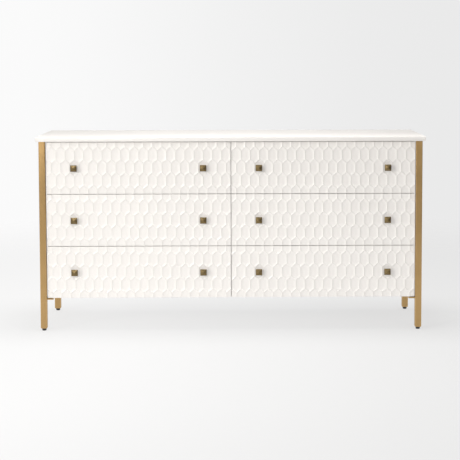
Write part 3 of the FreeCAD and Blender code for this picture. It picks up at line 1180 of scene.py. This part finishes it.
def knob_shape(hardware):
    """A round stem under a square head with a low pyramid, its back on Z = 0, facing up Z."""
    length = KNOB_HIGH.y - KNOB_LOW.y
    low, high = solids("top_left_knobs")[0]
    half = (high.x - low.x) / 2
    chamfer = Vector((1.2 * MM, 1.5 * MM))  # inwards and upwards, from the rim to the pyramid
    taper = 2.5 * MM  # height of the sloping back of the head
    head_back = 6.0 * MM  # half the width of the head where it meets the stem
    tip = 0.5 * MM  # half the width of the flat on the pyramid's tip
    rim_top = length - hardware.pyramid - chamfer.y
    rim_low = rim_top - hardware.rim
    back = rim_low - taper
    foot = 7.5 * MM
    stem = 5.0 * MM
    turned = (
        (foot - 0.3 * MM, 0.0),
        (foot, 0.3 * MM),
        (foot, 1.5 * MM),
        (foot - 0.5 * MM, 2.0 * MM),
        (stem + 0.8 * MM, 2.2 * MM),
        (stem, 3.2 * MM),
        (stem, back - 0.8 * MM),
        (stem + 0.6 * MM, back + 0.2 * MM),
    )
    profile = (
        (head_back, back),
        (half, rim_low),
        (half, rim_top),
        (half - chamfer.x, rim_top + chamfer.y),
        (tip, length),
    )
    corners = ((1, 1), (-1, 1), (-1, -1), (1, -1))
    bm = bmesh.new()
    loft(bm, [circle(radius, level) for radius, level in turned])
    loops = loft(bm, [[(x * r, y * r, z) for x, y in corners] for r, z in profile])
    edges = {e for loop in loops for v in loop for e in v.link_edges}
    bmesh.ops.bevel(
        bm, geom=list(edges), offset=hardware.knob_edge, segments=2, profile=0.5, affect="EDGES"
    )
    bmesh.ops.recalc_face_normals(bm, faces=bm.faces)
    # Marks the rim's narrow faces, where the knob finish paints a dark reflection.
    mark_edges(bm, 1.2 * hardware.rim)
    return mesh_from(bm, "knob_pattern", "dark_brass", 25.0)


def make_knobs(hardware):
    """Two knobs on each drawer, set by geometry nodes with their backs on the scoop floors."""
    shape = knob_shape(hardware)
    for drawer in DRAWERS:
        node = drawer + "_knobs"
        places = [Vector(((a.x + b.x) / 2, b.y, (a.z + b.z) / 2)) for a, b in solids(node)]
        name = drawer + "_knob_pair"
        placed_piece(name, shape, places, TO_FRONT, "dark_brass", drawer + "_drawer", node)


# ---- legs and feet ----

LEG_END_STEPS = 5
LEG_CORNER_STEPS = 6
GLIDE_RIM_STEPS = 5


def leg_rings(hardware, low, high):
    """Rings up the outside of a leg, over its open top, and down inside to the end plate."""
    half = (high.x - low.x) / 2
    middle = (low + high) / 2
    corner = hardware.leg_corner
    wall = 1.5 * MM
    plate = 3.0 * MM
    levels = []
    for angle in (0.0, *quarter_turn(LEG_END_STEPS)):
        inset = hardware.leg_end * (1 - math.sin(angle))
        rise = hardware.leg_end * (1 - math.cos(angle))
        levels.append((half - inset, corner + inset / 2, low.z + rise))
    levels.append((half, corner, high.z))
    levels.append((half - wall, corner - wall, high.z))
    levels.append((half - wall, corner - wall, low.z + plate))
    return [
        [(middle.x + x, middle.y + y, level) for x, y in square_ring(size, radius, LEG_CORNER_STEPS)]
        for size, radius, level in levels
    ]


def make_legs(hardware):
    """Four square brass tubes with rounded lower ends."""
    for end in ("front", "back"):
        for side in COLUMNS:
            node = f"{end}_{side}_leg"
            bm = bmesh.new()
            loft(bm, leg_rings(hardware, *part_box(node)))
            bmesh.ops.recalc_face_normals(bm, faces=bm.faces)
            mark_edges(bm, hardware.leg_corner / 2)
            add_piece(node + "_tube", mesh_from(bm, node, "antique_brass"), "case", "antique_brass", node)


def glide_shape(low, high):
    """A tapered foot with a rounded rim, turned about Z, with its stem."""
    floor = 8.0 * MM
    top = 9.5 * MM
    stem = 4.0 * MM
    bend = 2.0 * MM
    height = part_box("front_left_leg")[0].z
    rings = []
    for angle in (0.0, *quarter_turn(GLIDE_RIM_STEPS)):
        rings.append(circle(floor - bend * (1 - math.sin(angle)), bend * (1 - math.cos(angle))))
    rings += [circle(top - 0.3 * MM, height - 0.5 * MM), circle(top - 0.6 * MM, height)]
    rings += [circle(stem, height), circle(stem, high.z - low.z)]
    bm = bmesh.new()
    loft(bm, rings)
    bmesh.ops.recalc_face_normals(bm, faces=bm.faces)
    mark_edges(bm, bend / 2)
    return mesh_from(bm, "glide_pattern", "black_plastic", 40.0)


def make_foot_glides():
    """Four glides, set by geometry nodes under the legs."""
    boxes = solids("foot_glides")
    shape = glide_shape(*boxes[0])
    places = [Vector(((a.x + b.x) / 2, (a.y + b.y) / 2, a.z)) for a, b in boxes]
    placed_piece("foot_glides_turned", shape, places, UP, "black_plastic", "case", "foot_glides")


# ---- case ----


def make_case():
    """The top with eased edges; the other boards stay as the frame has them."""
    board_piece(
        "top_board", [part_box("top_panel")], 1.5 * MM, "white_lacquer", "case", longest_axis, "top_panel"
    )
    for node in ("left_side_panel", "right_side_panel", "bottom_panel", "center_divider", "case_rails"):
        keep_cad(node, "white_lacquer")
    keep_cad("back_panel", "back_board")
    keep_cad("case_dowels", "dowel_wood")
    keep_cad("under_rails", "bar_brass")
    keep_cad("leg_top_plates", "bar_brass")


# ---- screws ----

SCREW_SIDES = 16
SCREW_DOME_STEPS = 5


def screw_shape(hardware, head, neck, height, length):
    """A domed screw with a cross recess: its head on Z = 0 and facing up Z, shank below."""
    lip = 0.15 * MM  # height of the upright rim of the head
    point = 2.0 * MM
    rings = [
        (0.3 * MM, -length),
        (neck, -length + point),
        (neck, 0.0),
        (head - 0.1 * MM, 0.0),
        (head, lip),
    ]
    for angle in quarter_turn(SCREW_DOME_STEPS + 1)[:-1]:
        rings.append((head * math.cos(angle), lip + (height - lip) * math.sin(angle)))
    bm = bmesh.new()
    loops = loft(bm, [circle(radius, level, SCREW_SIDES) for radius, level in rings], close_top=False)
    cut_cross(bm, loops[-1], hardware.recess)
    bmesh.ops.recalc_face_normals(bm, faces=bm.faces)
    mark_edges(bm, 0.5 * MM)
    return mesh_from(bm, "screw_pattern", "screw_steel", 30.0)


def cut_cross(bm, rim, depth):
    """Closes the top of a screw with a four-armed recess that runs in to a point."""
    arm, shoulder, waist = 0.86, 0.72, 0.3  # shares of the rim's radius
    arm_width = 0.35  # share of the angle between two points of the rim
    floor = 0.55  # size of the recess's floor against its mouth
    count = len(rim)
    level = rim[0].co.z
    mouth = []
    for i, vert in enumerate(rim):
        share = (arm, shoulder, waist, shoulder)[i % 4]
        middle = round(i / 4) * 4
        off = (i - middle) * (arm_width if i % 2 else 1.0)
        angle = math.tau * (middle + off) / count
        radius = vert.co.xy.length * share
        mouth.append(bm.verts.new((radius * math.cos(angle), radius * math.sin(angle), level)))
    bottom = [bm.verts.new((v.co.x * floor, v.co.y * floor, level - depth)) for v in mouth]
    for i in range(count):
        j = (i + 1) % count
        bm.faces.new((rim[i], rim[j], mouth[j], mouth[i]))
        bm.faces.new((mouth[i], mouth[j], bottom[j], bottom[i]))
    bm.faces.new(bottom)


def make_screws(hardware):
    """Screws of the back, of the leg plates and bars, and of each drawer."""
    spin = math.pi / 2
    height = 1.2 * MM
    shape = screw_shape(hardware, 3.2 * MM, 1.6 * MM, height, 15 * MM)
    node = "back_panel_screws"
    places = [Vector(((a.x + b.x) / 2, b.y - height, (a.z + b.z) / 2)) for a, b in solids(node)]
    placed_piece("back_screws", shape, places, TO_BACK, "screw_steel", "case", node, spin)
    height = 2.4 * MM
    shape = screw_shape(hardware, 3.5 * MM, 1.9 * MM, height, 16 * MM)
    node = "frame_screws"
    places = [Vector(((a.x + b.x) / 2, (a.y + b.y) / 2, a.z + height)) for a, b in solids(node)]
    placed_piece("plate_screws", shape, places, DOWN, "screw_steel", "case", node, spin)
    height = 2.2 * MM
    shape = screw_shape(hardware, 3.8 * MM, 1.9 * MM, height, 20 * MM)
    for drawer in DRAWERS:
        body = drawer + "_drawer"
        node = body + "_screws"
        places = [Vector(((a.x + b.x) / 2, b.y - height, (a.z + b.z) / 2)) for a, b in solids(node)]
        placed_piece(node + "_set", shape, places, TO_BACK, "screw_steel", body, node, spin)


# ---- drawer boxes and slides ----


def box_boards(node, wall):
    """The two sides of a drawer box, and the inner front and the back between them."""
    low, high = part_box(node)
    left = low.x + wall
    right = high.x - wall
    return [
        (low, Vector((left, high.y, high.z))),
        (Vector((right, low.y, low.z)), high),
        (Vector((left, low.y, low.z)), Vector((right, low.y + wall, high.z))),
        (Vector((left, high.y - wall, low.z)), Vector((right, high.y, high.z))),
    ]


def make_drawer_boxes(hardware):
    """Four boards and a plywood bottom for each drawer."""
    for drawer in DRAWERS:
        body = drawer + "_drawer"
        node = drawer + "_drawer_box"
        boards = box_boards(node, hardware.box_wall)
        board_piece(node + "_boards", boards, 1.0 * MM, "drawer_wood", body, longest_axis, node)
        node = drawer + "_drawer_bottom"
        board_piece(node + "_sheet", solids(node), 0.5 * MM, "drawer_board", body, longest_axis, node)


def make_slides():
    """The steel members stay as the frame has them, and take a zinc finish."""
    keep_cad("case_slide_members", "slide_steel")
    for drawer in DRAWERS:
        keep_cad(drawer + "_drawer_slide_members", "slide_steel")
        keep_cad(drawer + "_middle_slide_members", "slide_steel")


# ---- stage ----


def make_camera(stage):
    camera = bpy.data.objects.new("camera", bpy.data.cameras.new("camera"))
    camera.location = stage.camera_place
    camera.rotation_euler = stage.camera_turn
    camera.data.lens = stage.lens
    camera.data.shift_x, camera.data.shift_y = stage.shift
    bpy.context.scene.collection.objects.link(camera)
    bpy.context.scene.camera = camera


def make_soft_light(name, place, target, size, power, colour):
    """A large square light at a place, aimed at a target."""
    light = bpy.data.lights.new(name, "AREA")
    light.shape = "SQUARE"
    light.size = size
    light.energy = power
    light.color = colour
    lamp = bpy.data.objects.new(name, light)
    lamp.location = place
    lamp.rotation_euler = (Vector(target) - Vector(place)).to_track_quat("-Z", "Y").to_euler()
    bpy.context.scene.collection.objects.link(lamp)


def make_room(stage):
    """Soft light from all round, stronger overhead. What the camera sees drifts from left to right."""
    overhead = 0.85  # height of a direction from which the light is at its strongest
    reach = 0.155  # sideways part of the directions that the tones run between
    world = bpy.data.worlds.new("room")
    world.use_nodes = True
    bpy.context.scene.world = world
    tree = Tree(world.node_tree)
    background = world.node_tree.nodes["Background"]
    side, _, height = tree.split(tree.add("ShaderNodeTexCoord").outputs["Generated"])
    seen = drift_of_tone(tree, side, reach)
    lit = tree.mixed(tree.stretched(height, 0.0, overhead), stage.room_low, stage.room_high)
    camera_sees = tree.add("ShaderNodeLightPath").outputs["Is Camera Ray"]
    tree.feed(background.inputs["Color"], tree.mixed(camera_sees, lit, seen))


def drift_of_tone(tree, side, reach):
    """The backdrop's tone: brightest on the left, a shade darker on the right."""
    ramp = tree.add("ShaderNodeValToRGB", {0: tree.stretched(side, -reach, reach)})
    tones = ((0.0, 0.96), (0.14, 0.945), (0.5, 0.882), (0.8, 0.838), (1.0, 0.823))
    stops = ramp.color_ramp.elements
    while len(stops) < len(tones):
        stops.new(0.5)
    for stop, (place, tone) in zip(stops, tones):
        stop.position = place
        stop.color = (tone, tone, tone, 1.0)
    return ramp.outputs[0]


def floor_material(stage):
    """Matt floor that glows a little, so shadows stay faint, and fades into the room."""
    fade_from, fade_to = 1.3, 3.6  # metres from the middle
    tone_reach = 0.85
    material = bpy.data.materials.new("Pale floor")
    material.use_nodes = True
    tree = Tree(material.node_tree)
    shader = material.node_tree.nodes["Principled BSDF"]
    place = tree.add("ShaderNodeTexCoord").outputs["Object"]
    grain = tree.noise(place, 40.0, 4.0, 0.6)
    colour = tree.mixed(grain, stage.floor_colour, shade(stage.floor_colour, 0.97))
    tree.feed(shader.inputs["Base Color"], colour)
    tree.feed(shader.inputs["Emission Color"], drift_of_tone(tree, tree.split(place)[0], tone_reach))
    shader.inputs["Emission Strength"].default_value = stage.floor_glow
    shader.inputs["Roughness"].default_value = 0.9
    shader.inputs["Specular IOR Level"].default_value = 0.1
    distance = tree.add("ShaderNodeVectorMath", {0: place}, operation="LENGTH").outputs["Value"]
    feeds = {0: distance, 1: fade_from, 2: fade_to, 3: 0.0, 4: 1.0}
    fade = tree.add("ShaderNodeMapRange", feeds, interpolation_type="SMOOTHSTEP")
    clear = tree.add("ShaderNodeBsdfTransparent")
    feeds = {0: fade.outputs[0], 1: shader.outputs[0], 2: clear.outputs[0]}
    blend = tree.add("ShaderNodeMixShader", feeds)
    output = material.node_tree.nodes["Material Output"]
    tree.feed(output.inputs["Surface"], blend.outputs[0])
    return material


def make_floor(stage):
    """The pale floor, wide enough to fade out before its edges."""
    half_size = 5.0
    bm = bmesh.new()
    bmesh.ops.create_grid(bm, x_segments=4, y_segments=4, size=half_size)
    mesh = bpy.data.meshes.new("floor")
    bm.to_mesh(mesh)
    bm.free()
    mesh.materials.append(floor_material(stage))
    floor = bpy.data.objects.new("floor", mesh)
    bpy.context.scene.collection.objects.link(floor)


def make_lights(stage):
    """Six soft lights: each one's place, what it is aimed at, the length of its side, its colour."""
    middle = (0.0, FRONT_LOW.y, 0.4)
    leg_top = (-0.74, FRONT_LOW.y, 0.6)
    above = (0.0, 0.0, 0.7)
    daylight = (1.0, 0.985, 0.96)
    lights = {
        "key": ((-0.95, -1.8, 1.15), middle, 0.5, daylight),
        "window": ((-6.0, -6.0, 2.1), middle, 2.0, daylight),
        "fill": ((1.9, -4.4, 1.9), middle, 2.5, (1.0, 0.985, 0.965)),
        "overhead": ((0.0, 0.0, 3.0), above, 1.2, (1.0, 0.99, 0.98)),
        "sparkle": ((-0.72, -1.3, 1.66), leg_top, 0.22, daylight),
        "glint": ((-1.3, -3.3, 0.8), leg_top, 0.45, (1.0, 0.97, 0.92)),
    }
    for name, (place, target, size, colour) in lights.items():
        make_soft_light(name, place, target, size, getattr(stage, name + "_power"), colour)


def make_stage(stage):
    """The camera, the room, the floor and the lights."""
    bpy.context.scene.view_settings.view_transform = "Standard"
    make_camera(stage)
    make_room(stage)
    make_floor(stage)
    make_lights(stage)


# ---- operators: one for the stage and one for each group of like pieces ----


class DRESSER_OT_finishes(bpy.types.Operator):
    """Build the shared effects and the materials"""

    bl_idname = "dresser.finishes"
    bl_label = "Finishes"

    def execute(self, context):
        make_finishes(context.scene.dresser_finishes)
        return {"FINISHED"}


class DRESSER_OT_stage(bpy.types.Operator):
    """Set up the camera, the soft light and the pale floor"""

    bl_idname = "dresser.stage"
    bl_label = "Stage"

    def execute(self, context):
        make_stage(context.scene.dresser_stage)
        return {"FINISHED"}


class DRESSER_OT_case(bpy.types.Operator):
    """Make the top and finish the boards and bars of the case"""

    bl_idname = "dresser.case"
    bl_label = "Case"

    def execute(self, context):
        make_case()
        return {"FINISHED"}


class DRESSER_OT_drawer_fronts(bpy.types.Operator):
    """Carve the six drawer fronts"""

    bl_idname = "dresser.drawer_fronts"
    bl_label = "Drawer Fronts"

    def execute(self, context):
        make_drawer_fronts(context.scene.dresser_carving)
        return {"FINISHED"}


class DRESSER_OT_knobs(bpy.types.Operator):
    """Make the twelve square pyramid knobs"""

    bl_idname = "dresser.knobs"
    bl_label = "Knobs"

    def execute(self, context):
        make_knobs(context.scene.dresser_hardware)
        return {"FINISHED"}


class DRESSER_OT_legs(bpy.types.Operator):
    """Make the four square brass legs"""

    bl_idname = "dresser.legs"
    bl_label = "Legs"

    def execute(self, context):
        make_legs(context.scene.dresser_hardware)
        return {"FINISHED"}


class DRESSER_OT_foot_glides(bpy.types.Operator):
    """Make the black glides under the legs"""

    bl_idname = "dresser.foot_glides"
    bl_label = "Foot Glides"

    def execute(self, context):
        make_foot_glides()
        return {"FINISHED"}


class DRESSER_OT_drawer_boxes(bpy.types.Operator):
    """Make the boards and bottoms of the drawer boxes"""

    bl_idname = "dresser.drawer_boxes"
    bl_label = "Drawer Boxes"

    def execute(self, context):
        make_drawer_boxes(context.scene.dresser_hardware)
        return {"FINISHED"}


class DRESSER_OT_slides(bpy.types.Operator):
    """Finish the drawer slides"""

    bl_idname = "dresser.slides"
    bl_label = "Drawer Slides"

    def execute(self, context):
        make_slides()
        return {"FINISHED"}


class DRESSER_OT_screws(bpy.types.Operator):
    """Make the screws of the back, the frame and the drawers"""

    bl_idname = "dresser.screws"
    bl_label = "Screws"

    def execute(self, context):
        make_screws(context.scene.dresser_hardware)
        return {"FINISHED"}


OPERATORS = (
    DRESSER_OT_finishes,
    DRESSER_OT_stage,
    DRESSER_OT_case,
    DRESSER_OT_drawer_fronts,
    DRESSER_OT_knobs,
    DRESSER_OT_legs,
    DRESSER_OT_foot_glides,
    DRESSER_OT_drawer_boxes,
    DRESSER_OT_slides,
    DRESSER_OT_screws,
)
SETTINGS = {
    "dresser_carving": CarvingSizes,
    "dresser_hardware": HardwareSizes,
    "dresser_finishes": Finishes,
    "dresser_stage": StageSettings,
}


class DRESSER_PT_panel(bpy.types.Panel):
    """Lists the settings and the operators of the dresser"""

    bl_idname = "DRESSER_PT_panel"
    bl_label = "Dresser"
    bl_space_type = "VIEW_3D"
    bl_region_type = "UI"
    bl_category = "Dresser"

    def draw(self, context):
        for operator in OPERATORS:
            self.layout.operator(operator.bl_idname)
        for name, group in SETTINGS.items():
            column = self.layout.box().column()
            for setting in group.__annotations__:
                column.prop(getattr(context.scene, name), setting)


def register():
    for group in SETTINGS.values():
        bpy.utils.register_class(group)
    for name, group in SETTINGS.items():
        setattr(bpy.types.Scene, name, PointerProperty(type=group))
    for operator in OPERATORS:
        bpy.utils.register_class(operator)
    bpy.utils.register_class(DRESSER_PT_panel)


def unregister():
    bpy.utils.unregister_class(DRESSER_PT_panel)
    for operator in reversed(OPERATORS):
        bpy.utils.unregister_class(operator)
    for name, group in SETTINGS.items():
        delattr(bpy.types.Scene, name)
        bpy.utils.unregister_class(group)


def main():
    """Makes every piece in order."""
    register()
    bpy.ops.dresser.finishes()
    bpy.ops.dresser.stage()
    bpy.ops.dresser.case()
    bpy.ops.dresser.drawer_fronts()
    bpy.ops.dresser.knobs()
    bpy.ops.dresser.legs()
    bpy.ops.dresser.foot_glides()
    bpy.ops.dresser.drawer_boxes()
    bpy.ops.dresser.slides()
    bpy.ops.dresser.screws()


if __name__ == "__main__":
    main()
